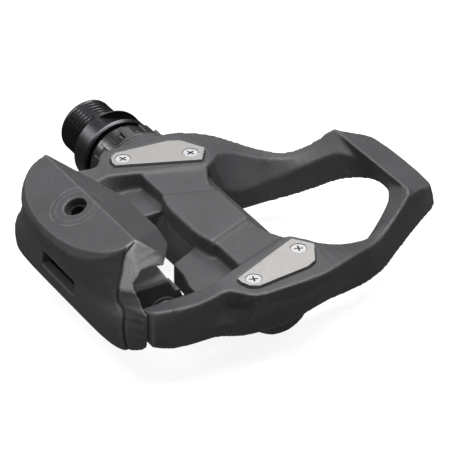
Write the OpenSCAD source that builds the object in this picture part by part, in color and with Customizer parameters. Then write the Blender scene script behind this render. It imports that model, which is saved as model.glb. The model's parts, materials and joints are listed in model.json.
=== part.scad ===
// Right-hand clipless road pedal for a three-bolt cleat, in millimetres.
// +X points to the toe, +Y inboard to the crank, +Z up. The origin is on the spindle axis where
// the spindle's collar meets the crank arm. Most modules draw about the pedal's own middle plane.

/* [Crank interface] */
// Outside diameter of the 9/16 inch crank thread
thread_d = 14.28; // [14.1:0.01:14.3]
// Length of the crank thread
thread_len = 11.5; // [10:0.5:13]
// Distance from the crank face to the pedal's middle plane
stance = 53; // [52:0.5:56]
// Outside diameter of the collar that seats on the crank
collar_d = 18.9; // [18:0.1:20]
// Width across the collar's two wrench flats
wrench_w = 15; // [15:0.1:16]
// Width across the flats of the hex socket in the thread's end
socket_w = 8; // [6:1:8]

/* [Spindle and bearings] */
// Radius of the spindle where the balls run
journal_r = 4.9; // [4.5:0.1:5.1]
// Radius of one bearing ball
ball_r = 1.19; // [1:0.01:1.2]
// Number of balls in each bearing
ball_count = 15; // [9:1:15]
// Radius of the bore that the bearing cups sit in
cup_bore_r = 8.1; // [8:0.1:8.3]

/* [Pedal body] */
// Height of the cleat bed above the spindle axis
bed_z = 10.4; // [10.2:0.1:10.6]
// Height of the side rails above the spindle axis
rail_z = 11; // [10.8:0.1:11.2]
// Radius of the barrel around the spindle
barrel_r = 10.2; // [10:0.1:10.3]
// Thickness of a wear plate
plate_t = 1.4; // [1:0.1:1.6]

/* [Rear claw] */
// Height of the claw's ridge above the spindle axis
ridge_z = 24.5; // [24:0.1:25]
// Slope of the face behind the ridge, in degrees
rear_slope = 21.3; // [20:0.1:22]
// Slope of the face in front of the ridge, in degrees
front_slope = 32.2; // [31:0.1:33]
// Diameter of the claw's pivot pin
pin_d = 4; // [3.6:0.1:4.2]
// Wire diameter of the torsion springs
wire_d = 1.6; // [1.2:0.1:1.6]

/* [Hidden] */
$fn = 64;

run = 0.06;            // radial clearance of a running fit
eps = 0.01;            // overlap that keeps a cut clean

// Stations along the spindle axis, from the pedal's middle plane
crank_y = stance;
collar_y = 47.4;       // outboard face of the collar
neck_y = 46.4;         // inboard end of the lock bolt
lug_y = [38.2, 43.3];  // castellated ring of the lock bolt
boss_y = 37.5;         // inboard face of the body's boss
cup_seat_y = 29.5;     // where the lock bolt presses the inboard cup
barrel_end_y = -27;
thread_r = thread_d / 2;
stub_r = 3.5;          // outboard thread of the spindle
shaft_r = 6.6;
cone_r = 5.9;
cup_inner_r = journal_r + 2 * ball_r + 0.05;
ball_circle_r = journal_r + ball_r + 0.025;
race_w = 2 * ball_r + 0.3;
in_race_y = 25.6;      // spindle shoulder beside the inboard balls
out_race_y = -12;      // cup shoulder beside the outboard balls
lock_thread_r = 9.2;

// Wear plate outline for the inboard side, and its two screws, in (x, y)
plate_outline = [[-12, 27.5], [6.7, 19.7], [9.9, 24], [6.6, 29.7], [4, 31], [-9.3, 32.3],
                 [-11.1, 31.2], [-12, 29]];
plate_centre = [-1, 26.5];
plate_pocket = 1.032;  // how much larger than the plate its pocket is
screw_at = [[-9, 29.3], [6, 23.8]];
screw_head_r = 1.75;
screw_shank_r = 1;
screw_len = 4.6;

// Claw pivot, in (x, z)
pivot = [-27, 3.5];
pin_r = pin_d / 2;
ear_y = [15.2, 20.5];
coil_r = 4.6;          // mean radius of a spring coil
coil_y = [2.6, 14.6];
wire_r = wire_d / 2;
mandrel_r = 3.3;

// Claw ridge line and the tension bolt, which stands square to the rear face
ridge_x = -33.6;
claw_half_w = 21;      // half width of the claw at its ridge
bolt_x = -37.2;
bolt_z = ridge_z + (bolt_x - ridge_x) * tan(rear_slope);
bolt_head_r = 2.4;
bolt_shank_r = 1.75;
plate_low = -14.5;     // tension plate, measured down the bolt from the claw's face
plate_high = -11.5;

// ---- helpers -------------------------------------------------------------

// Moves children from the middle plane to the crank-face origin
module at_middle() {
    translate([0, -stance, 0]) children();
}

// Round bar along Y from y0 to y1; r1 tapers it
module bar(y0, y1, r0, r1 = -1) {
    translate([0, y0, 0]) rotate([-90, 0, 0])
        cylinder(h = y1 - y0, r1 = r0, r2 = r1 < 0 ? r0 : r1);
}

// Ring along Y with an outer and an inner radius
module tube(y0, y1, outer, inner) {
    difference() {
        bar(y0, y1, outer);
        bar(y0 - eps, y1 + eps, inner);
    }
}

// Draws an (x, z) outline and extrudes it along Y from y0 to y1
module slab(y0, y1) {
    translate([0, y1, 0]) rotate([90, 0, 0]) linear_extrude(height = y1 - y0) children();
}

// Children and their mirror image in the middle plane
module both_sides() {
    children();
    mirror([0, 1, 0]) children();
}

// Places children on the claw's pivot, or on the tension bolt's axis
module at_pivot() {
    translate([pivot[0], 0, pivot[1]]) children();
}

module at_bolt() {
    translate([bolt_x, 0, bolt_z]) rotate([0, -rear_slope, 0]) children();
}

// Closed solid through a list of rings that all have the same number of points
module skin(rings) {
    n = len(rings[0]);
    last = len(rings) - 1;
    sides = [for (i = [0:last - 1], j = [0:n - 1]) let (k = (j + 1) % n) each [
        [i * n + j, i * n + k, (i + 1) * n + k],
        [i * n + j, (i + 1) * n + k, (i + 1) * n + j]
    ]];
    ends = [
        [for (j = [n - 1:-1:0]) j],
        [for (j = [0:n - 1]) last * n + j]
    ];
    polyhedron(points = [for (r = rings) each r], faces = concat(sides, ends), convexity = 10);
}

// Point on a smooth curve between b and c, whose neighbours are a and d
function curve(a, b, c, d, t) =
    0.5 * (2 * b + (c - a) * t + (2 * a - 5 * b + 4 * c - d) * t * t
        + (3 * b - a - 3 * c + d) * t * t * t);

// A list of rings with `steps` smooth rings for each given one
function smooth_rings(rings, steps) = let (last = len(rings) - 1) [
    for (i = [0:last - 1], s = [0:steps - 1]) curve(
        rings[max(i - 1, 0)], rings[i], rings[i + 1], rings[min(i + 2, last)], s / steps),
    rings[last]
];

function mirror_ring(ring) = [for (p = ring) [p[0], -p[1], p[2]]];

// ---- spindle -------------------------------------------------------------

module spindle() {
    chamfer = 0.9;
    thread_end = crank_y + thread_len;
    color("#232325") at_middle() difference() {
        union() {
            bar(crank_y, thread_end - chamfer, thread_r);
            bar(thread_end - chamfer, thread_end, thread_r, thread_r - chamfer);
            difference() {
                bar(collar_y, crank_y, collar_d / 2);
                both_flats() translate([-collar_d, 0, 0]) cube([collar_d * 2, 4.4, collar_d]);
            }
            bar(in_race_y + race_w + 2, collar_y, shaft_r);
            bar(in_race_y, in_race_y + race_w + 2 + eps, journal_r);
            bar(in_race_y - 4, in_race_y, cone_r + 0.2);
            bar(8, in_race_y - 4 + eps, journal_r + 0.9);
            bar(-8, 8, journal_r, journal_r + 0.9);
            bar(out_race_y - race_w, -8 + eps, journal_r);
            bar(-23.8, out_race_y - race_w + eps, stub_r);
        }
        translate([0, thread_end + eps, 0]) rotate([90, 30, 0])
            cylinder(h = 7, r = socket_w / 2 / cos(30), $fn = 6);
    }
}

// The two wrench flats of the collar, above and below the axis
module both_flats() {
    for (side = [0, 180])
        translate([0, collar_y + 0.6, 0]) rotate([0, side + 20, 0])
            translate([0, 0, wrench_w / 2]) children();
}

module outboard_cone() {
    y1 = out_race_y - race_w;
    color("#7d7f83") at_middle() tube(y1 - 4.7, y1, cone_r, stub_r);
}

module tongued_washer() {
    y1 = out_race_y - race_w - 4.7;
    color("#8d8f93") at_middle() tube(y1 - 0.8, y1, 5.2, stub_r);
}

module spindle_lock_nut() {
    y1 = out_race_y - race_w - 5.5;
    color("#8d8f93") at_middle() difference() {
        translate([0, y1, 0]) rotate([90, 0, 0]) cylinder(h = 3, r = 9 / 2 / cos(30), $fn = 6);
        bar(y1 - 3 - eps, y1 + eps, stub_r);
    }
}

module ball_ring(y) {
    for (i = [0:ball_count - 1])
        rotate([0, i * 360 / ball_count, 0]) translate([ball_circle_r, y, 0])
            sphere(r = ball_r, $fn = 24);
}

module inboard_balls() {
    color("#c9cbce") at_middle() ball_ring(in_race_y + race_w / 2);
}

module outboard_balls() {
    color("#c9cbce") at_middle() ball_ring(out_race_y - race_w / 2);
}

// ---- bearing unit in the body --------------------------------------------

module inboard_cup() {
    color("#8a8c90") at_middle() difference() {
        bar(in_race_y - 1, cup_seat_y, cup_bore_r);
        bar(in_race_y - 1 - eps, in_race_y + race_w, cup_inner_r);
        bar(in_race_y, cup_seat_y + eps, journal_r + 0.5);
    }
}

module outboard_cup() {
    color("#8a8c90") at_middle() difference() {
        bar(out_race_y - race_w - 1, out_race_y + 1.2, cup_bore_r);
        bar(out_race_y - race_w - 1 - eps, out_race_y, cup_inner_r);
        bar(out_race_y - eps, out_race_y + 1.2 + eps, journal_r + 0.6);
    }
}

module bearing_sleeve() {
    color("#77797d") at_middle() tube(out_race_y + 1.2, in_race_y - 1, cup_bore_r, cup_bore_r - 1);
}

// Castellated plastic bolt that holds the bearing unit in the body
module lock_bolt() {
    notches = 12;
    notch_w = 2.7;
    color("#262628") at_middle() difference() {
        union() {
            bar(cup_seat_y, boss_y, lock_thread_r);
            bar(boss_y, lug_y[0], 9);
            bar(lug_y[0], lug_y[1], 10.5);
            bar(lug_y[1] - eps, neck_y, 8.6);
        }
        bar(cup_seat_y - eps, neck_y + eps, shaft_r + run);
        bar(neck_y - 2.2, neck_y + eps, shaft_r + 1.2);
        for (i = [0:notches - 1])
            rotate([0, (i + 0.27) * 360 / notches, 0])
                translate([-notch_w / 2, lug_y[0] + 1.2, 8.7]) cube([notch_w, 4, 3]);
    }
}

module lock_bolt_seal() {
    color("#1b1b1c") at_middle() tube(boss_y, lug_y[0], 10, 9);
}

module dust_seal() {
    color("#1b1b1c") at_middle() tube(neck_y - 2.2, neck_y - 0.3, shaft_r + 1.2, shaft_r + run);
}

// ---- pedal body ----------------------------------------------------------

// Sections of the side band on the inboard side, from the rear end of the side wall, along the
// wing beside the cleat bed and around the toe loop to its front middle. Each runs outer bottom,
// outer lower, outer upper, outer top edge, inner top edge, inner line, inner bottom.
band_sections = [
    [[-34.9, 30.0, 2.4], [-34.9, 30.3, 5], [-34.9, 30.1, 9], [-34.9, 29.4, 11.2],
        [-34.9, 24.6, 9.2], [-34.9, 22.4, 7.5], [-34.9, 22.4, 2.6]],
    [[-30, 30.2, 0.4], [-30, 31.2, 4], [-30, 31.3, 9], [-30, 30.9, 11.2],
        [-30, 24.8, 9.4], [-30, 22.4, 7.5], [-30, 22.4, 0.6]],
    [[-24, 30.2, -0.2], [-24, 31.3, 4], [-24, 31.4, 8], [-24, 31.3, 11.0],
        [-24, 25, 9.5], [-24, 22.4, 7.5], [-24, 22.4, 0]],
    [[-19, 30.1, -0.4], [-19, 31.2, 3.5], [-19, 30.6, 7], [-19, 30.4, 10.9],
        [-19, 25.2, 10], [-19, 22.6, 7], [-19, 22.4, -0.4]],
    [[-15.5, 30, -1.4], [-15.5, 31.2, 3], [-15.5, 29.6, 6.5], [-15.5, 30.2, 11],
        [-15.5, 25, 10.9], [-15.5, 22.6, 6], [-15.5, 22.4, -1.4]],
    [[-12.5, 29.9, -2.5], [-12.5, 31.1, 2], [-12.5, 30.4, 6], [-12.5, 34.3, 11],
        [-12.5, 23.9, 11], [-12.5, 23, 6], [-12.5, 22.4, -2.5]],
    [[-10, 29.8, -3], [-10, 31, 1.8], [-10, 34.4, 7.2], [-10, 35.2, 11],
        [-10, 23, 11], [-10, 22.5, 6], [-10, 22, -3]],
    [[-4, 29.8, -3.4], [-4, 31, 1.8], [-4, 34.6, 7], [-4, 35.2, 11],
        [-4, 21, 11], [-4, 20.5, 5], [-4, 20, -3.4]],
    [[1.5, 29.7, -3], [1.5, 31, 2], [1.5, 34.5, 7], [1.5, 35.2, 11],
        [1.5, 19.2, 11], [1.5, 18.8, 4], [1.5, 18.5, -3.6]],
    [[6.5, 28.7, -2.6], [6.5, 31, 2.5], [6.5, 34, 7.5], [6.5, 34.8, 10.95],
        [7.2, 17.6, 10.95], [10, 17.7, 3], [11, 17.6, -4.2]],
    [[12.5, 27, -2.8], [12.3, 30, 3], [12, 32, 7.6], [12, 32.8, 10.5],
        [12.2, 22.2, 10], [15.5, 17.8, 1.2], [16.3, 17.6, -4.4]],
    [[18.4, 25.4, -3.7], [17.6, 27.8, 2], [17, 29.4, 6.5], [16.9, 30.1, 9.4],
        [17.6, 23, 8.3], [19, 17.9, 0.8], [20, 17.6, -4.5]],
    [[23.3, 24.3, -3.9], [22.6, 25.6, 1], [22.3, 26.2, 5], [22.2, 26.4, 7.3],
        [23, 21.2, 6.2], [24, 18.1, 1.2], [24, 17.4, -4.5]],
    [[27.6, 23.1, -3.8], [26.8, 23.8, 1], [26.4, 23.9, 4.3], [26.3, 23.8, 6],
        [26.8, 20.2, 5.2], [28, 17.2, 2], [27.7, 16.6, -4.2]],
    [[31.3, 21.7, -3.3], [30.5, 21.8, 1], [30.1, 21.6, 4], [30, 21.4, 5.5],
        [30.4, 18.6, 5.2], [31.6, 15.7, 3.9], [31.2, 14.9, -3]],
    [[35.5, 20, -1.4], [34.4, 19.9, 2.5], [33.9, 19.5, 5.4], [33.8, 19.4, 6.6],
        [34.1, 17.4, 6.4], [34.8, 14, 5.8], [35, 12.8, -1.3]],
    [[39, 18.7, 0.2], [38, 18.3, 4], [37.4, 18, 7.5], [37.2, 17.9, 8.6],
        [37.5, 16.2, 8.4], [37.9, 11.9, 7.6], [38.3, 10.4, 0.6]],
    [[42, 17.6, 1.5], [41.4, 17, 6], [41, 16.6, 10.2], [40.7, 16.4, 11.4],
        [40.4, 14, 10.7], [39.9, 8.8, 8.3], [41.2, 7.8, 1.8]],
    [[45.8, 16.1, 2.8], [45.5, 15.3, 6.3], [45.2, 14.4, 9.9], [40.7, 12, 11.45],
        [40.9, 10.2, 10], [41.4, 6.3, 7.6], [43, 5.2, 2.5]],
    [[49.3, 14.4, 4.2], [49.4, 13.5, 6.3], [49.3, 12.4, 8.6], [40.6, 7.5, 11.45],
        [41.1, 6, 9.8], [42.3, 3.6, 6.8], [44.1, 3, 2.9]],
    [[50, 7, 4.2], [50.1, 6.6, 6.3], [49.9, 6.2, 8.6], [40.6, 3.6, 11.45],
        [41.2, 3, 9.7], [42.7, 1.8, 6.5], [44.4, 1.5, 3]],
    [[50.2, 0, 4.2], [50.3, 0, 6.3], [50.1, 0, 8.6], [40.6, 0, 11.45],
        [41.2, 0, 9.7], [42.8, 0, 6.4], [44.5, 0, 3]]
];

// Side walls, wings and toe loop as one smooth band from the inboard rear to the outboard rear
module side_band() {
    half = smooth_rings(band_sections, 2);
    far = [for (i = [1:len(half) - 1]) mirror_ring(half[len(half) - 1 - i])];
    skin([for (ring = concat(half, far)) [for (j = [len(ring) - 1:-1:0]) ring[j]]]);
}

// Outline of the cleat bed, in (x, y), inboard half
bed_front = [[3.5, 0], [3.5, 10.3], [4.6, 13.5], [6.9, 17.6], [8, 19.5], [3, 24]];
bed_rear = [[-8, 24], [-8, 11.8], [-8.9, 11.5], [-10, 7], [-10.2, 4.8], [-10.2, 0]];

module bed_half() {
    polygon(concat(bed_front, bed_rear));
}

// Floor behind the bed, beside the open middle: its plan outlines, outboard and inboard
floor_outlines = [
    [[-6, -5], [-11, -5.9], [-17.6, -9], [-17.9, -14], [-19, -18.2], [-19, -23.5], [-6, -23.5]],
    [[-6, 11.4], [-17.2, 11.6], [-17.9, 14], [-19, 18.2], [-19, 23.5], [-6, 23.5]]
];

module rear_floor() {
    intersection() {
        translate([0, 0, -1]) linear_extrude(height = 12)
            for (outline = floor_outlines) polygon(outline);
        slab(-24, 24) polygon([[-20, 6.4], [-20, 1.4], [-9, 0.6], [-6, 6.6], [-18, 6.6]]);
    }
}

module pedal_body() {
    bed_low = 6.6;
    pad_rise = 0.7;
    color("#39393c") at_middle() difference() {
        union() {
            side_band();
            translate([0, 0, bed_low]) linear_extrude(height = bed_z - bed_low)
                both_sides() bed_half();
            // raised centre pad
            translate([0, 0, bed_low]) linear_extrude(height = bed_z + pad_rise - bed_low)
                both_sides() polygon([[3.5, 0], [3.5, 6.7], [-8.9, 11.5], [-10, 7], [-10.2, 4.8],
                                       [-10.2, 0]]);
            rear_floor();
            bar(-20, boss_y - 5, barrel_r);
            bar(barrel_end_y, -20 + eps, 7.6, barrel_r);
            bar(29, boss_y, 11.2);
            // ribs that tie the barrel to the side walls and the bed
            for (y = [-18, 0, 18])
                translate([-6, y - 1.2, 3]) cube([9, 2.4, 5]);
            slab(-24, 24) polygon([[-4, 3], [4, 3], [2, 8], [-6, 8]]);
        }
        // bearing bore, lock bolt thread and the blind space for the spindle's end
        bar(out_race_y - race_w - 1, cup_seat_y + eps, cup_bore_r);
        bar(cup_seat_y, boss_y + eps, lock_thread_r);
        bar(barrel_end_y + 2, out_race_y - race_w - 1 + eps, 7);
        // wear plate pockets and screw holes
        both_sides() {
            translate([0, 0, rail_z + 0.4 - plate_t]) linear_extrude(height = 4)
                translate(plate_centre) scale(plate_pocket) translate(-plate_centre)
                    polygon(plate_outline);
            for (p = screw_at)
                translate([p[0], p[1], rail_z - screw_len]) cylinder(h = screw_len, r = screw_shank_r);
        }
        // pivot pin: right through the inboard wall, blind in the outboard wall
        at_pivot() bar(-27, 35, pin_r);
    }
}

module wear_plate() {
    color("#bdb9b6") difference() {
        translate([0, 0, rail_z + 0.4 - plate_t]) linear_extrude(height = plate_t)
            polygon(plate_outline);
        for (p = screw_at)
            translate([p[0], p[1], rail_z + 0.4]) screw_cut();
    }
}

// Countersink and hole for one plate screw, below z = 0
module screw_cut() {
    translate([0, 0, -0.5]) cylinder(h = 1, r = screw_head_r + 0.15);
    translate([0, 0, -1.3]) cylinder(h = 0.81, r1 = screw_shank_r, r2 = screw_head_r + 0.04);
    translate([0, 0, -4]) cylinder(h = 3, r = screw_shank_r);
}

module inboard_wear_plate() {
    at_middle() wear_plate();
}

module outboard_wear_plate() {
    at_middle() mirror([0, 1, 0]) wear_plate();
}

// Four countersunk cross-head screws
module wear_plate_screws() {
    color("#dcdcdc") at_middle() both_sides() for (p = screw_at)
        translate([p[0], p[1], rail_z + 0.4]) difference() {
            union() {
                translate([0, 0, -0.5]) cylinder(h = 0.4, r = screw_head_r);
                translate([0, 0, -1.25]) cylinder(h = 0.75, r1 = screw_shank_r, r2 = screw_head_r);
                translate([0, 0, -0.4 - screw_len]) cylinder(h = screw_len - 0.8, r = screw_shank_r);
            }
            for (turn = [0, 90])
                rotate([0, 0, turn + 20]) translate([-1.05, -0.2, -0.9]) cube([2.1, 0.4, 2]);
        }
}

// ---- claw pivot and springs ----------------------------------------------

module claw_pivot_pin() {
    color("#9a9c9f") at_middle() at_pivot() bar(-27, 30.2, pin_r);
}

module pin_retaining_rings() {
    color("#8d8f93") at_middle() at_pivot() both_sides() tube(21.5, 22.1, 3.6, pin_r);
}

module spring_mandrel() {
    color("#303033") at_middle() at_pivot() tube(-coil_y[1], coil_y[1], mandrel_r, pin_r);
}

// Torsion spring as its plain outer shape, with a leg to the tension plate at its inner end and
// a leg under the rear floor at its outer end
module spring() {
    at_pivot() {
        tube(coil_y[0], coil_y[1], coil_r + wire_r, coil_r - wire_r);
        translate([-coil_r, coil_y[0] + wire_r, 0]) cylinder(h = 5, r = wire_r);
        translate([0, coil_y[1] - wire_r, -coil_r]) rotate([0, 83, 0])
            cylinder(h = 10.6, r = wire_r);
    }
}

module inboard_spring() {
    color("#a8a9ac") at_middle() spring();
}

module outboard_spring() {
    color("#a8a9ac") at_middle() mirror([0, 1, 0]) spring();
}

// ---- rear claw -----------------------------------------------------------

// Plan sections of the claw: height, half width and depth behind the ridge of the rear wall's
// curve, its squareness, the corner where it meets the side facet (x), the facet's front edge
// (x, y) and the half width at the lip
claw_levels = [
    [-1, 24.2, 6.1, 6, -37.4, [-34.6, 25.6], 24],
    [0, 25.1, 7, 6, -38.1, [-34.8, 27], 25],
    [1.2, 25.7, 7.8, 5.5, -38.7, [-35, 28], 26],
    [3.9, 25.8, 8.4, 5, -39.2, [-35.1, 28.4], 26],
    [6.4, 25.5, 8.5, 5, -39.2, [-35.1, 28.5], 26],
    [8.6, 24.9, 8.3, 4.8, -38.7, [-35.1, 28.6], 26],
    [9.8, 24.3, 8.1, 4.3, -38.5, [-35.1, 28.4], 26],
    [11, 23.5, 8.3, 3.8, -38.9, [-35.3, 26.6], 24],
    [12.4, 22.9, 8.9, 3.4, -38.9, [-35.4, 25.4], 22],
    [15.4, 22.2, 10.4, 2.7, -38.1, [-35.2, 24.4], 18],
    [17.9, 21.9, 11.7, 2.3, -37.4, [-35, 23.6], 17.6],
    [20, 21.5, 12.2, 2.15, -36.9, [-34.9, 22.7], 17.5],
    [22, 21.3, 12.4, 2.1, -36.3, [-34.5, 21.9], 17.4],
    [24.5, 20.95, 12.5, 2.1, -33.8, [-33.6, 20.95], 17.2],
    [26, 20.95, 12.5, 2.1, -33.8, [-33.6, 20.95], 17.2]
];

// Ring at one level, drawn `wall` inside the claw's outside
function claw_ring(s, wall, front_x) =
    let (depth = s[2] - wall, width = s[1] - wall,
         corner = max(0.1, ridge_x - s[4] - wall * 0.4),
         reach = acos(pow(corner / depth, s[3] / 2)))
    concat(
        [for (k = [-12:12]) let (t = reach * k / 12) [
            ridge_x - depth * pow(cos(t), 2 / s[3]),
            width * sign(k) * pow(abs(sin(t)), 2 / s[3]),
            s[0]
        ]],
        [for (side = [1, -1], k = [0, 1]) let (front = (side > 0) == (k > 0))
            [front ? front_x : s[5][0], side * ((front ? s[6] : s[5][1]) - wall), s[0]]]
    );

module claw_shell(wall, front_x) {
    skin([for (s = claw_levels) claw_ring(s, wall, front_x)]);
}

// Roll between the claw's sloping top and its rear wall, in rings parallel to the top: height
// above the top, depth behind the ridge, half width, squareness
roll_rings = [
    [-34, 34, 40.3, 2.3], [-7, 19, 30.2, 2.3], [-3.2, 15.2, 26.1, 2.2], [-1.6, 13.6, 23.2, 2.15],
    [-0.7, 12.8, 21.8, 2.1], [0.05, 12, 21.1, 2.1], [1.5, 12, 21.1, 2.1]
];

module claw_roll() {
    translate([ridge_x, 0, ridge_z]) rotate([0, -rear_slope, 0])
        skin([for (s = roll_rings) concat(
            [for (t = [-90:7.5:90]) [
                -s[1] * pow(cos(t), 2 / s[3]), s[2] * sign(t) * pow(abs(sin(t)), 2 / s[3]), s[0]
            ]],
            [[24, s[2], s[0]], [24, -s[2], s[0]]]
        )]);
}

// Side outline of the claw, in (x, z), from the ridge over the lip, the cleat notch and the foot
notch = [[-26, 15.4], [-28.9, 16.6], [-31.2, 17.5], [-33.6, 17.9], [-35, 17], [-35.8, 15.6],
         [-35.8, 14.2], [-35.3, 12.2]];
lip_tip_x = -20.6;
lip_tip_z = ridge_z - (lip_tip_x - ridge_x) * tan(front_slope);
claw_side = concat(
    [[ridge_x - 14.5, ridge_z - 14.5 * tan(rear_slope)], [ridge_x, ridge_z],
     [lip_tip_x, lip_tip_z], [lip_tip_x - 0.4, lip_tip_z - 2]],
    notch,
    [[-35.1, 10], [-35.1, 1], [-35.6, -1], [ridge_x - 14.5, -1]]
);

// Plan outline of the claw, in (x, y), inboard half
claw_plan = [[lip_tip_x, 11.6], [-22.2, 14.5], [-25.4, 18.8], [-28, 22.5], [-33.6, 33],
             [-50, 33]];

// Arm from the claw's side down to the pivot
module ear() {
    intersection() {
        slab(ear_y[0], ear_y[1]) polygon([[-36.4, 12.6], [-34, 18.4], [-29, 17.6], [-27.1, 14.4],
                                          [-25.4, 11.5], [-23.6, 8.2], [-22.6, 8.4],
                                          [-21.3, 5.2], [-29, -1.1], [-38, 2.6], [-38, 9]]);
        translate([-50, 0, 0]) rotate([90, 0, 90]) linear_extrude(height = 30)
            polygon([[15, -5], [20.6, -5], [20.6, 11.8], [17.4, 18.6], [15, 18.6]]);
    }
    at_pivot() bar(ear_y[0], ear_y[1], 5);
}

module rear_claw() {
    wall = 2.6;
    window = [5.2, 8.8];   // low and high edge of the indicator window
    color("#3a3a3d") at_middle() difference() {
        union() {
            difference() {
                intersection() {
                    claw_shell(0, lip_tip_x + 1);
                    claw_roll();
                    slab(-32, 32) polygon(claw_side);
                    linear_extrude(height = 60, center = true) polygon(concat(claw_plan,
                        [for (k = [len(claw_plan) - 1:-1:0]) [claw_plan[k][0], -claw_plan[k][1]]]));
                }
                // hollow between the side plates, open to the front and below
                intersection() {
                    claw_shell(wall, -29);
                    slab(-17.5, 17.5) polygon([
                        [-50, 1.2], [-50, ridge_z - wall - 16.4 * tan(rear_slope)],
                        [ridge_x, ridge_z - wall - 0.6], [-29, 19.5], [-29, -2],
                        [-34.4, -2], [-34.4, 1.2]]);
                }
            }
            both_sides() ear();
            // boss around the tension bolt
            at_bolt() translate([0, 0, -7.5]) cylinder(h = 6, r = 5);
        }
        // facets that bevel the two ends of the lip
        both_sides() translate([ridge_x, claw_half_w, ridge_z])
            rotate([0, 42.4, 0]) rotate([-11, 0, 0]) translate([-1, -16, 0]) cube([26, 30, 12]);
        at_bolt() {
            translate([0, 0, -5]) cylinder(h = 8, r = bolt_head_r + 0.2);
            translate([0, 0, -9]) cylinder(h = 5, r = bolt_shank_r + run);
        }
        // indicator window in the rear wall
        translate([-46, -7.5, window[0]]) cube([9, 15, window[1] - window[0]]);
        at_pivot() both_sides() bar(ear_y[0] - 1, ear_y[1] + 1, pin_r + 0.9);
    }
}

module claw_bushes() {
    color("#2b2b2d") at_middle() at_pivot() both_sides() difference() {
        union() {
            bar(ear_y[0], ear_y[1], pin_r + 0.9);
            bar(ear_y[1], ear_y[1] + 0.7, pin_r + 2);
        }
        bar(ear_y[0] - 1, ear_y[1] + 1, pin_r + run);
    }
}

module thrust_washer() {
    color("#a2a4a7") at_middle() at_bolt() translate([0, 0, -5]) difference() {
        cylinder(h = 0.5, r = bolt_head_r + 0.1);
        translate([0, 0, -1]) cylinder(h = 2, r = bolt_shank_r + run);
    }
}

module tension_bolt() {
    color("#6f7175") at_middle() at_bolt() difference() {
        union() {
            translate([0, 0, -4.45]) cylinder(h = 2.7, r = bolt_head_r);
            translate([0, 0, -18]) cylinder(h = 14, r = bolt_shank_r);
        }
        translate([0, 0, -3.8]) cylinder(h = 3, r = 1.5 / cos(30), $fn = 6);
    }
}

module bolt_retaining_ring() {
    color("#8d8f93") at_middle() at_bolt() translate([0, 0, -8.2]) difference() {
        cylinder(h = 0.6, r = 3);
        translate([0, 0, -1]) cylinder(h = 3, r = bolt_shank_r);
    }
}

// Nut plate that the springs push on, with a pointer that shows in the rear window
module tension_plate() {
    thick = plate_high - plate_low;
    color("#b4a06a") at_middle() at_bolt() difference() {
        union() {
            translate([-3, -7.5, plate_low]) cube([6, 15, thick]);
            translate([-5.9, -3, plate_low + 1]) cube([4, 6, 1]);
        }
        translate([0, 0, plate_low - 1]) cylinder(h = thick + 2, r = bolt_shank_r + run);
    }
}

spindle();
outboard_cone();
tongued_washer();
spindle_lock_nut();
inboard_balls();
outboard_balls();
pedal_body();
lock_bolt();
lock_bolt_seal();
dust_seal();
inboard_cup();
outboard_cup();
bearing_sleeve();
inboard_wear_plate();
outboard_wear_plate();
wear_plate_screws();
claw_pivot_pin();
pin_retaining_rings();
spring_mandrel();
inboard_spring();
outboard_spring();
rear_claw();
claw_bushes();
thrust_washer();
tension_bolt();
bolt_retaining_ring();
tension_plate();
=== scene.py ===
import json
import math

import bmesh
import bpy
import numpy as np
from mathutils import Matrix, Vector


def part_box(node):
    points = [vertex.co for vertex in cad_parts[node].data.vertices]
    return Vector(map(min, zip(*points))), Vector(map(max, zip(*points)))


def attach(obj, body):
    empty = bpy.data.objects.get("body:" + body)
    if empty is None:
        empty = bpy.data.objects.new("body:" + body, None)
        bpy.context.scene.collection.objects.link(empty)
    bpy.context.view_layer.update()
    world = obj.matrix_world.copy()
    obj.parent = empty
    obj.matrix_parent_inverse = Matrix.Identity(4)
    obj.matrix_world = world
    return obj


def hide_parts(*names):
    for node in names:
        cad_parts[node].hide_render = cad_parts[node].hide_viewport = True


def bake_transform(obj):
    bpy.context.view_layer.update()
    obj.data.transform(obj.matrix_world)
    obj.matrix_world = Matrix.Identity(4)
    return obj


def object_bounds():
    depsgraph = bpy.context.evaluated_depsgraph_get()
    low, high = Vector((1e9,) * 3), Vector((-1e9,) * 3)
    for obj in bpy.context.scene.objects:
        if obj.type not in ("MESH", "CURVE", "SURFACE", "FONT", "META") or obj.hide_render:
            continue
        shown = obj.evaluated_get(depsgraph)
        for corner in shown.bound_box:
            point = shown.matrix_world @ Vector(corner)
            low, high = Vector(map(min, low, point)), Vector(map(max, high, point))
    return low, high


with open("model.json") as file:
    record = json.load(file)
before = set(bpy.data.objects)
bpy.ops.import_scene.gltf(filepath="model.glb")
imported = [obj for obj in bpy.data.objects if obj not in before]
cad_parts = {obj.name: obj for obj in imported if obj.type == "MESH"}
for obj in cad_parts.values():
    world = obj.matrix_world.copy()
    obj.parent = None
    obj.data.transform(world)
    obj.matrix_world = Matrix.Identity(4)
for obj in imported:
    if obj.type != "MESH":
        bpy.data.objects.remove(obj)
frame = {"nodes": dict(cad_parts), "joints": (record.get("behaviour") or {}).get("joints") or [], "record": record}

CAD_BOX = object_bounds()
MM = 0.001
NODES = frame["nodes"]
MOUNTS = {m["name"]: m for m in frame["record"]["mounts"]}
JOINTS = {j["name"]: j for j in frame["joints"]}

# Places that the frame gives: the spindle axis lies along Y through the origin, and the claw's
# pivot and the tension bolt come from their joints.
THREAD_R = MOUNTS["axle_thread"]["dims"]["r_mm"] * MM
MID_Y = JOINTS["pedal_spin"]["pos_m"][1]
PIVOT = Vector(JOINTS["claw_pivot"]["pos_m"])
BOLT_AT = Vector(JOINTS["tension_bolt_turn"]["pos_m"])
BOLT_DOWN = Vector(JOINTS["tension_bolt_turn"]["axis"])

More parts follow.
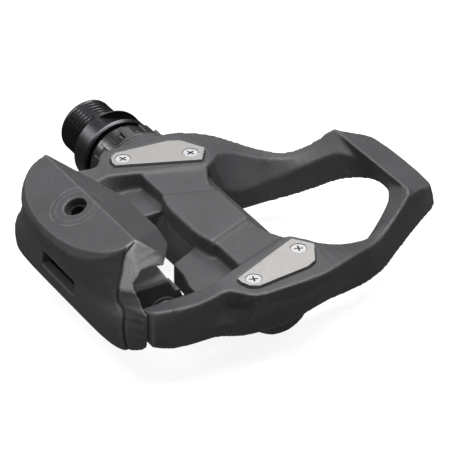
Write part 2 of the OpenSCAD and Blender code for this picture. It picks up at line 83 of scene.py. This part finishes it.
# Seam between the claw's rear wall and its side facets, in mm from the ridge's end down: x,
# distance from the pedal's middle, z; and the raked plane that the seam's upper part lies in
SEAM = [(-34.2, 20.9, 24.1), (-36.3, 20.9, 22), (-36.9, 20.9, 20), (-37.4, 21.2, 17.9),
        (-38.1, 21.3, 15.4), (-38.9, 21.7, 12.4), (-38.9, 22.3, 11), (-38.5, 23.6, 9.8),
        (-38.7, 24.4, 8.6), (-39.2, 24.8, 6.4), (-39.2, 25.1, 3.9), (-38.7, 25.2, 1.2),
        (-37.4, 24, -1)]
SEAM_RAKE = -0.27
SEAM_AT = -42.1 * MM
SEAM_WIDTH = 0.32 * MM
SEAM_DEPTH = 0.35 * MM

# Outline of the spindle from its outboard journal to the collar's foot: y and radius, in mm
SHAFT = [(-67.7, 3.5), (-67.7, 4.9), (-61, 4.9),    # outboard journal
         (-45, 5.8), (-31.4, 5.8),                  # taper and middle
         (-31.4, 6.1), (-27.4, 6.1),                # shoulder beside the inboard race
         (-27.4, 4.9), (-22.7, 4.9),                # inboard journal
         (-22.7, 6.6), (-5.6, 6.6)]                 # shaft in the lock bolt
STUB_R = 3.5 * MM
SOCKET_R = 4 * MM

# Rings on the claw's top around the bolt's hole: radius and strength
RINGS = ((4.6 * MM, 0.3), (5.9 * MM, 0.5))
RING_LINE = 0.22 * MM

# Moulded copies: voxel size and smoothing rounds, and the most triangles a copy keeps
BODY_VOXEL, BODY_ROUNDS = 0.43 * MM, 4
CLAW_VOXEL, CLAW_ROUNDS = 0.3 * MM, 4
LOCK_BOLT_VOXEL, LOCK_BOLT_ROUNDS = 0.22 * MM, 3
MOST_TRIANGLES = 190000

EDGE_BREAK = 0.12 * MM

# Colours of the claw's rings, of its painted light on the lip's ends and the arm, and of its painted shade along
# the seam
RING_COLOUR = (0.09, 0.09, 0.093)
# painted light: a lighter colour on the lip's ends and the arm's outer face
PAINTED_LIGHT_COLOUR = (0.15, 0.15, 0.155)
# painted shade: a near-black colour in the seam's groove
SEAM_SHADE_COLOUR = (0.002, 0.002, 0.002)


# ---- materials -----------------------------------------------------------

class Look:
    """A node-based material: the Principled shader, with helpers that add texture to it."""

    def __init__(self, name, colour, roughness, metallic=0.0, specular=0.5):
        self.material = bpy.data.materials.new(name)
        self.material.use_nodes = True
        self.tree = self.material.node_tree
        self.shader = self.tree.nodes["Principled BSDF"]
        self.shader.inputs["Base Color"].default_value = (*colour, 1)
        self.shader.inputs["Roughness"].default_value = roughness
        self.shader.inputs["Metallic"].default_value = metallic
        self.shader.inputs["Specular IOR Level"].default_value = specular
        self.place = self.node("ShaderNodeTexCoord").outputs["Object"]
        self.normal = None

    def node(self, kind, **settings):
        made = self.tree.nodes.new(kind)
        for key, value in settings.items():
            setattr(made, key, value)
        return made

    def join(self, source, target):
        self.tree.links.new(source, target)

    def noise(self, size, detail=3.0, stretch=(1, 1, 1)):
        """Noise whose features are about `size` across, stretched along an axis by `stretch`."""
        mapping = self.node("ShaderNodeMapping")
        mapping.inputs["Scale"].default_value = tuple(1 / s for s in stretch)
        self.join(self.place, mapping.inputs["Vector"])
        made = self.node("ShaderNodeTexNoise")
        made.inputs["Scale"].default_value = 1 / size
        made.inputs["Detail"].default_value = detail
        self.join(mapping.outputs["Vector"], made.inputs["Vector"])
        return made.outputs["Fac"]

    def ramp(self, source, low, high, value_low, value_high):
        made = self.node("ShaderNodeMapRange")
        for key, value in (("From Min", low), ("From Max", high),
                           ("To Min", value_low), ("To Max", value_high)):
            made.inputs[key].default_value = value
        self.join(source, made.inputs["Value"])
        return made.outputs["Result"]

    def math(self, operation, *values):
        made = self.node("ShaderNodeMath", operation=operation)
        for socket, value in zip(made.inputs, values):
            if isinstance(value, (int, float)):
                socket.default_value = value
            else:
                self.join(value, socket)
        return made.outputs[0]

    def vector(self, operation, *values):
        made = self.node("ShaderNodeVectorMath", operation=operation)
        for socket, value in zip(made.inputs, values):
            if isinstance(value, Vector):
                socket.default_value = value
            else:
                self.join(value, socket)
        return made.outputs["Value" if operation == "LENGTH" else "Vector"]

    def tint(self, source, dark, light):
        """Colour between `dark` and `light`, where either may be an earlier colour's output."""
        made = self.node("ShaderNodeMix", data_type="RGBA")
        for socket, colour in ((made.inputs[6], dark), (made.inputs[7], light)):
            if isinstance(colour, tuple):
                socket.default_value = (*colour, 1)
            else:
                self.join(colour, socket)
        self.join(source, made.inputs["Factor"])
        self.join(made.outputs[2], self.shader.inputs["Base Color"])
        return made.outputs[2]

    def rough(self, source):
        self.join(source, self.shader.inputs["Roughness"])

    def bump(self, source, height, strength=1.0):
        made = self.node("ShaderNodeBump")
        made.inputs["Distance"].default_value = height
        made.inputs["Strength"].default_value = strength
        self.join(source, made.inputs["Height"])
        if self.normal is not None:
            self.join(self.normal, made.inputs["Normal"])
        self.normal = made.outputs["Normal"]
        self.join(self.normal, self.shader.inputs["Normal"])


def nylon(name, dark, light, grain=0.3 * MM, roughness=(0.48, 0.62), wear_and_highlight=0.0, marks=None,
          specular=0.28, relief=0.03 * MM):
    """Glass-filled nylon: spark-eroded grain, faint flow marks, and convex edges made pale, partly as wear and
    partly as a painted highlight.
    """
    look = Look(name, dark, roughness[0], specular=specular)
    speckle = look.noise(grain, detail=4)
    cloud = look.noise(9 * MM, detail=2)
    shade = look.math("MULTIPLY_ADD", cloud, 0.35, speckle)
    shade = look.ramp(shade, 0.45, 0.95, 0, 1)
    # Convex edges are lightened by pointiness: partly edges rubbed pale, partly a painted highlight along them.
    if wear_and_highlight:
        corner = look.ramp(look.node("ShaderNodeNewGeometry").outputs["Pointiness"],
                           0.505, 0.535, 0, wear_and_highlight)
        shade = look.math("ADD", shade, look.math("MULTIPLY", corner, speckle))
    colour = look.tint(shade, dark, light)
    if marks:
        marks(look, colour)
    look.rough(look.ramp(speckle, 0.3, 0.7, roughness[1], roughness[0]))
    look.bump(speckle, relief)
    look.bump(cloud, 1.6 * relief)
    return look.material


def claw_rings_light_and_shade(look, colour):
    """Rings around the tension bolt's hole, painted light on the ends of the lip and on the arm's outer face, and
    painted shade along the seam.
    """
    away = look.vector("SUBTRACT", look.place, BOLT_AT)
    across = look.vector("CROSS_PRODUCT", away, BOLT_DOWN)
    radius = look.vector("LENGTH", across)
    patchy = look.ramp(look.noise(5 * MM, detail=1), 0.45, 0.6, 0, 1)
    total = None
    for at, strength in RINGS:
        off = look.math("ABSOLUTE", look.math("SUBTRACT", radius, at))
        line = look.ramp(off, 0, RING_LINE, strength, 0)
        total = line if total is None else look.math("ADD", total, line)
    rings = look.math("MULTIPLY", total, patchy)

    # Painted light: the lip's ends behind the seam and the arm's outer face get a lighter colour.
    split = look.node("ShaderNodeSeparateXYZ")
    look.join(look.place, split.inputs[0])
    x, z = split.outputs["X"], split.outputs["Z"]
    beside = look.math("ABSOLUTE", look.math("SUBTRACT", split.outputs["Y"], MID_Y))
    back = look.math("MULTIPLY_ADD", z, SEAM_RAKE, x)
    painted_light = look.math("MULTIPLY",
                      look.ramp(back, SEAM_AT - 0.3 * MM, SEAM_AT + 0.1 * MM, 0, 1),
                      look.ramp(z, 13.4 * MM, 14.6 * MM, 0, 1))
    painted_light = look.math("MULTIPLY", painted_light, look.ramp(beside, 20.1 * MM, 20.9 * MM, 0, 1))
    arm_painted_light = look.math("MULTIPLY", look.ramp(beside, 17.2 * MM, 17.6 * MM, 0, 1),
                    look.ramp(beside, 21 * MM, 21.2 * MM, 1, 0))
    arm_painted_light = look.math("MULTIPLY", arm_painted_light, look.ramp(z, 10.6 * MM, 11.4 * MM, 0, 1))
    arm_painted_light = look.math("MULTIPLY", arm_painted_light, look.ramp(z, 17 * MM, 17.4 * MM, 1, 0))
    arm_painted_light = look.math("MULTIPLY", arm_painted_light, look.ramp(x, -36.4 * MM, -36.2 * MM, 0, 1))
    painted_light = look.math("MAXIMUM", painted_light, arm_painted_light)

    colour = look.tint(rings, colour, RING_COLOUR)
    speckle = look.noise(0.4 * MM)
    colour = look.tint(look.math("MULTIPLY", painted_light, look.ramp(speckle, 0.3, 0.7, 0.7, 1)),
                       colour, PAINTED_LIGHT_COLOUR)
    # Painted shade: the seam's groove is darkened nearly to black.
    seam = look.node("ShaderNodeAttribute", attribute_name="seam")
    look.tint(look.math("MULTIPLY", seam.outputs["Fac"], 0.85), colour, SEAM_SHADE_COLOUR)


def metal(name, dark, light, roughness, grain, height, stretch=(1, 1, 1)):
    """Metal with a ground, blasted or plated surface."""
    look = Look(name, light, roughness[0], metallic=1.0)
    marks = look.noise(grain, detail=3, stretch=stretch)
    look.tint(look.ramp(marks, 0.3, 0.7, 0, 1), dark, light)
    look.rough(look.ramp(marks, 0.3, 0.7, roughness[0], roughness[1]))
    look.bump(marks, height)
    return look.material


def rubber(name):
    """Matt black rubber with a faint grain."""
    look = Look(name, (0.015, 0.015, 0.015), 0.7, specular=0.3)
    marks = look.noise(0.5 * MM, detail=2)
    look.rough(look.ramp(marks, 0.3, 0.7, 0.6, 0.8))
    look.bump(marks, 0.01 * MM)
    return look.material


def make_materials():
    return {
        "body_nylon": nylon("body_nylon", (0.014, 0.014, 0.0152), (0.030, 0.030, 0.0323),
                            wear_and_highlight=1.7),
        "claw_nylon": nylon("claw_nylon", (0.014, 0.014, 0.0152), (0.030, 0.030, 0.0323),
                            wear_and_highlight=1.7, marks=claw_rings_light_and_shade),
        "black_nylon": nylon("black_nylon", (0.004, 0.004, 0.0045), (0.009, 0.009, 0.010),
                             grain=0.5 * MM, roughness=(0.26, 0.34), specular=0.4,
                             relief=0.004 * MM),
        "black_steel": metal("black_steel", (0.035, 0.035, 0.038), (0.06, 0.06, 0.064),
                             (0.3, 0.45), 0.35 * MM, 0.008 * MM),
        "bearing_steel": metal("bearing_steel", (0.42, 0.43, 0.45), (0.6, 0.61, 0.63),
                               (0.16, 0.28), 0.2 * MM, 0.002 * MM, stretch=(1, 8, 1)),
        "zinc_steel": metal("zinc_steel", (0.5, 0.51, 0.53), (0.66, 0.67, 0.69),
                            (0.25, 0.38), 0.3 * MM, 0.004 * MM),
        "zinc_screw": metal("zinc_screw", (0.3, 0.3, 0.305), (0.42, 0.42, 0.43),
                            (0.2, 0.32), 0.3 * MM, 0.004 * MM),
        "stainless_plate": metal("stainless_plate", (0.185, 0.18, 0.175), (0.3, 0.291, 0.284),
                                 (0.42, 0.58), 0.16 * MM, 0.012 * MM),
        "spring_steel": metal("spring_steel", (0.3, 0.3, 0.32), (0.45, 0.45, 0.47),
                              (0.25, 0.4), 0.3 * MM, 0.004 * MM),
        "brass_plate": metal("brass_plate", (0.5, 0.38, 0.17), (0.66, 0.52, 0.26),
                             (0.28, 0.42), 0.3 * MM, 0.004 * MM),
        "bush_plastic": nylon("bush_plastic", (0.02, 0.02, 0.022), (0.034, 0.034, 0.036),
                              grain=0.6 * MM, roughness=(0.4, 0.5)),
        "seal_rubber": rubber("seal_rubber"),
    }


MATERIALS = make_materials()
SLOT_OF = {part["node"]: part["material_slot"] for part in frame["record"]["subparts"]}


def paint(piece, slot_name):
    piece.data.materials.clear()
    piece.data.materials.append(MATERIALS[slot_name])


def paint_cad_node(node):
    """Gives a CAD node its material through its object's slots, and breaks its edges."""
    piece = NODES[node]
    for slot in piece.material_slots:
        slot.link = "OBJECT"
        slot.material = MATERIALS[SLOT_OF[node]]
    bevel = piece.modifiers.new("edge_break", "BEVEL")
    bevel.width = EDGE_BREAK
    bevel.segments = 2
    bevel.limit_method = "ANGLE"
    bevel.angle_limit = math.radians(40)
    bevel.use_clamp_overlap = True


# ---- pieces --------------------------------------------------------------

def stand_for(piece, node, body):
    """Makes a refined piece take a CAD node's place, finish and motion."""
    paint(piece, SLOT_OF[node])
    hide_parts(node)
    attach(piece, body)
    return piece


def new_object(name, mesh):
    made = bpy.data.objects.new(name, mesh)
    bpy.context.scene.collection.objects.link(made)
    return made


def baked(piece):
    """Replaces a piece's mesh with what its modifiers make of it."""
    graph = bpy.context.evaluated_depsgraph_get()
    mesh = bpy.data.meshes.new_from_object(piece.evaluated_get(graph))
    piece.modifiers.clear()
    piece.data = mesh
    return piece


def moulded(name, node, voxel, rounds):
    """Copy of a CAD node with moulded edge radii: a fine voxel remesh, then smoothing."""
    piece = new_object(name, NODES[node].data.copy())
    remesh = piece.modifiers.new("remesh", "REMESH")
    remesh.mode = "VOXEL"
    remesh.voxel_size = voxel
    smooth = piece.modifiers.new("smooth", "SMOOTH")
    smooth.factor = 0.5
    smooth.iterations = rounds
    baked(piece)
    triangles = 2 * len(piece.data.polygons)
    if triangles > MOST_TRIANGLES:
        thin = piece.modifiers.new("thin", "DECIMATE")
        thin.ratio = MOST_TRIANGLES / triangles
        baked(piece)
    piece.data.shade_smooth()
    return piece


def turned(name, rows, columns, sharp_deg=32):
    """Turned piece on the spindle axis. A row is (y, r), where r may be a function of angle."""
    mesh = bmesh.new()
    rings = []
    for y, radius in rows:
        ring = []
        for i in range(columns):
            angle = 2 * math.pi * i / columns
            r = radius(angle) if callable(radius) else radius
            ring.append(mesh.verts.new((r * math.cos(angle), y, r * math.sin(angle))))
        rings.append(ring)
    for low, high in zip(rings, rings[1:]):
        for i in range(columns):
            j = (i + 1) % columns
            mesh.faces.new((low[i], high[i], high[j], low[j]))
    mesh.faces.new(rings[0])
    mesh.faces.new(tuple(reversed(rings[-1])))
    bmesh.ops.recalc_face_normals(mesh, faces=mesh.faces)
    data = bpy.data.meshes.new(name)
    mesh.to_mesh(data)
    mesh.free()
    data.shade_smooth()
    piece = new_object(name, data)
    split = piece.modifiers.new("sharp", "EDGE_SPLIT")
    split.split_angle = math.radians(sharp_deg)
    return baked(piece)


def thread_rows(y0, y1, major, pitch, depth, steps=10):
    """Rows of a helical 60-degree thread whose crests and roots are a little flat."""
    slope, crest = 1.25, 0.12

    def radius_at(y):
        def radius(angle):
            phase = (y / pitch - angle / (2 * math.pi)) % 1
            wave = abs(2 * phase - 1)
            run_in = min(1, (y1 - y) / pitch, (y - y0) / pitch + 0.15)
            return major - depth * max(0, run_in) * min(1, max(0, slope * wave - crest))
        return radius
    count = round((y1 - y0) / pitch * steps)
    return [(y0 + (y1 - y0) * i / count, radius_at(y0 + (y1 - y0) * i / count))
            for i in range(count + 1)]


def make_spindle():
    """Spindle with helical threads, a collar with two wrench flats and a hexagon socket."""
    low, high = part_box("spindle")
    collar_r = high.x
    end = high.y
    pitch = 25.4 / 20 * MM
    chamfer = 0.9 * MM
    flat = 7.5 * MM
    flat_turn = math.radians(20)
    socket_depth = 7 * MM

    def collar(angle):
        across = abs(math.sin(angle + flat_turn))
        return min(collar_r, flat / across) if across > 1e-6 else collar_r

    def hexagon(angle):
        part = (angle + math.radians(30)) % math.radians(60) - math.radians(30)
        return SOCKET_R / math.cos(part)

    rows = [(low.y, 2.9 * MM), (low.y + 0.6 * MM, STUB_R)]
    rows += thread_rows(low.y + 0.6 * MM, -67.8 * MM, STUB_R, 1 * MM, 0.5 * MM, steps=6)
    rows += [(y * MM, r * MM) for y, r in SHAFT]
    rows += [(-5.6 * MM, collar_r - 0.5 * MM), (-5.2 * MM, collar_r - 0.1 * MM),
             (-5.0 * MM, collar_r), (-5.0 * MM, collar), (-0.75 * MM, collar),
             (-0.75 * MM, collar_r), (-0.25 * MM, collar_r), (0, collar_r - 0.3 * MM),
             (0, THREAD_R - 0.75 * MM), (0.7 * MM, THREAD_R - 0.75 * MM)]
    rows += thread_rows(0.7 * MM, end - chamfer, THREAD_R, pitch, 0.78 * MM)
    rows += [(end - 0.2 * MM, THREAD_R - chamfer), (end, THREAD_R - chamfer - 0.25 * MM),
             (end, lambda a: hexagon(a) + 0.35 * MM), (end - 0.35 * MM, hexagon),
             (end - socket_depth, hexagon), (end - socket_depth - 1 * MM, 0.4 * MM)]
    return stand_for(turned("spindle_turned", rows, 144), "spindle", "spindle")


def tube_along(name, points, radius, sides=14):
    """Round wire through a list of points."""
    curve = bpy.data.curves.new(name, "CURVE")
    curve.dimensions = "3D"
    curve.bevel_depth = radius
    curve.bevel_resolution = sides // 2 - 2
    curve.use_fill_caps = True
    line = curve.splines.new("POLY")
    line.points.add(len(points) - 1)
    for spot, p in zip(line.points, points):
        spot.co = (*p, 1)
    made = new_object(name, curve)
    graph = bpy.context.evaluated_depsgraph_get()
    mesh = bpy.data.meshes.new_from_object(made.evaluated_get(graph))
    bpy.data.objects.remove(made)
    mesh.shade_smooth()
    return new_object(name, mesh)


def make_spring(node, side):
    """Torsion spring around the pivot: a leg up to the tension plate, a coil, a leg forward."""
    wire = 0.8 * MM
    coil_r = 4.6 * MM
    inner, outer = 3.4 * MM, 13.8 * MM
    turns = 6.0
    leg_rise, leg_step, leg_count = 4, 0.5, 8
    start = math.pi
    sweep = 2 * math.pi * turns + math.pi / 2
    points = [Vector((-coil_r, side * inner, (leg_rise - i * leg_step) * MM))
              for i in range(leg_count)]
    steps = 240
    for i in range(steps + 1):
        t = i / steps
        angle = start + sweep * t
        y = side * (inner + (outer - inner) * min(1, t * 1.04))
        points.append(Vector((coil_r * math.cos(angle), y, coil_r * math.sin(angle))))
    reach = Vector((math.cos(math.radians(7)), 0, math.sin(math.radians(7))))
    last = points[-1]
    points += [last + reach * (0.5 * MM * i) for i in range(1, 22)]
    centre = Vector((PIVOT.x, MID_Y, PIVOT.z))
    piece = tube_along(node + "_coil", [centre + p for p in points], wire)
    paint(piece, SLOT_OF[node])
    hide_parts(node)
    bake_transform(piece)
    return piece


def groove(piece, line, width, depth):
    """Presses a fine groove into a mesh along a line on its surface, on both of its sides."""
    mesh = piece.data
    spots = np.empty(3 * len(mesh.vertices), dtype=np.float32)
    mesh.vertices.foreach_get("co", spots)
    spots = spots.reshape(-1, 3).astype(float)
    normals = np.array([v.normal[:] for v in mesh.vertices])
    folded = spots.copy()
    folded[:, 1] = np.abs(folded[:, 1] - MID_Y)
    nearest = np.full(len(spots), 1.0)
    for a, b in zip(line, line[1:]):
        a, b = np.array(a) * MM, np.array(b) * MM
        t = np.clip((folded - a) @ (b - a) / ((b - a) @ (b - a)), 0, 1)
        nearest = np.minimum(nearest, np.linalg.norm(folded - a - t[:, None] * (b - a), axis=1))
    inside = np.exp(-(nearest / width) ** 2)
    # The groove's strength is kept as the "seam" attribute, which the claw's material uses to paint shade into the
    # seam.
    mark = mesh.attributes.new("seam", "FLOAT", "POINT")
    mark.data.foreach_set("value", inside.astype(np.float32))
    push = depth * inside
    spots -= normals * push[:, None]
    mesh.vertices.foreach_set("co", spots.astype(np.float32).ravel())
    mesh.update()


def make_moulded_parts():
    stand_for(moulded("pedal_body_moulded", "pedal_body", BODY_VOXEL, BODY_ROUNDS),
              "pedal_body", "pedal_body")
    claw = stand_for(moulded("rear_claw_moulded", "rear_claw", CLAW_VOXEL, CLAW_ROUNDS),
                     "rear_claw", "rear_claw")
    groove(claw, SEAM, SEAM_WIDTH, SEAM_DEPTH)
    stand_for(moulded("lock_bolt_moulded", "lock_bolt", LOCK_BOLT_VOXEL, LOCK_BOLT_ROUNDS),
              "lock_bolt", "pedal_body")


# ---- camera, floor and lights --------------------------------------------

def make_camera():
    """Camera at the pedal's three-quarter view from behind, outboard and above."""
    azimuth, elevation, roll = math.radians(-31.1), math.radians(32.45), math.radians(0.5)
    distance = 680 * MM
    off_right, off_up = 1.098 * MM, 5.286 * MM
    right = Vector((math.cos(azimuth), math.sin(azimuth), 0))
    back = Vector((math.sin(azimuth) * math.cos(elevation),
                   -math.cos(azimuth) * math.cos(elevation), math.sin(elevation)))
    up = back.cross(right)
    across = math.cos(roll) * right + math.sin(roll) * up
    upright = -math.sin(roll) * right + math.cos(roll) * up
    place = Vector((0, MID_Y, 0)) + off_right * across + off_up * upright + distance * back
    data = bpy.data.cameras.new("camera")
    data.lens = 237.7
    data.sensor_width = 36
    data.clip_start = 0.01
    camera = bpy.data.objects.new("camera", data)
    bpy.context.scene.collection.objects.link(camera)
    camera.matrix_world = Matrix((
        (across.x, upright.x, back.x, place.x),
        (across.y, upright.y, back.y, place.y),
        (across.z, upright.z, back.z, place.z),
        (0, 0, 0, 1)))
    bpy.context.scene.camera = camera


def make_floor(height):
    """White floor that is seen directly and gives light, and isn't mirrored in the metal."""
    size = 3.0
    mesh = bpy.data.meshes.new("floor")
    mesh.from_pydata([(-size, -size, height), (size, -size, height), (size, size, height),
                      (-size, size, height)], [], [(0, 1, 2, 3)])
    floor = new_object("floor", mesh)
    look = Look("floor", (0.12, 0.12, 0.12), 0.9, specular=0.1)
    look.shader.inputs["Emission Color"].default_value = (1, 1, 1, 1)
    look.shader.inputs["Emission Strength"].default_value = 0.9
    floor.data.materials.append(look.material)
    floor.visible_glossy = False


def make_light(name, place, target, size, power):
    data = bpy.data.lights.new(name, "AREA")
    data.shape = "RECTANGLE"
    data.size, data.size_y = size
    data.energy = power
    lamp = bpy.data.objects.new(name, data)
    bpy.context.scene.collection.objects.link(lamp)
    lamp.location = place
    lamp.rotation_euler = (Vector(target) - Vector(place)).to_track_quat("-Z", "Y").to_euler()


def make_studio():
    make_camera()
    make_floor(CAD_BOX[0][2] - 0.2 * MM)
    target = (0, MID_Y, 0)
    make_light("top_softbox", (0.16, MID_Y - 0.02, 0.8), target, (0.7, 0.7), 19)
    make_light("toe_softbox", (0.35, MID_Y + 0.6, 0.5), target, (0.7, 0.3), 1.6)
    make_light("heel_rim", (-0.61, MID_Y + 0.87, 0.5), target, (0.35, 0.25), 4)
    make_light("heel_strip", (-0.44, MID_Y - 0.06, 0.8), target, (0.16, 0.3), 8)
    make_light("outboard_fill", (-0.1, MID_Y - 0.8, 0.55), target, (0.5, 0.3), 0.8)
    world = bpy.data.worlds.new("studio")
    bpy.context.scene.world = world
    world.use_nodes = True
    world.node_tree.nodes["Background"].inputs["Color"].default_value = (1, 1, 1, 1)
    world.node_tree.nodes["Background"].inputs["Strength"].default_value = 0.12
    bpy.context.scene.view_settings.view_transform = "Standard"


make_studio()
make_moulded_parts()
make_spindle()
make_spring("inboard_spring", 1)
make_spring("outboard_spring", -1)
REPLACED = {"pedal_body", "rear_claw", "lock_bolt", "spindle",
            "inboard_spring", "outboard_spring"}
for cad_node in NODES:
    if cad_node not in REPLACED:
        paint_cad_node(cad_node)
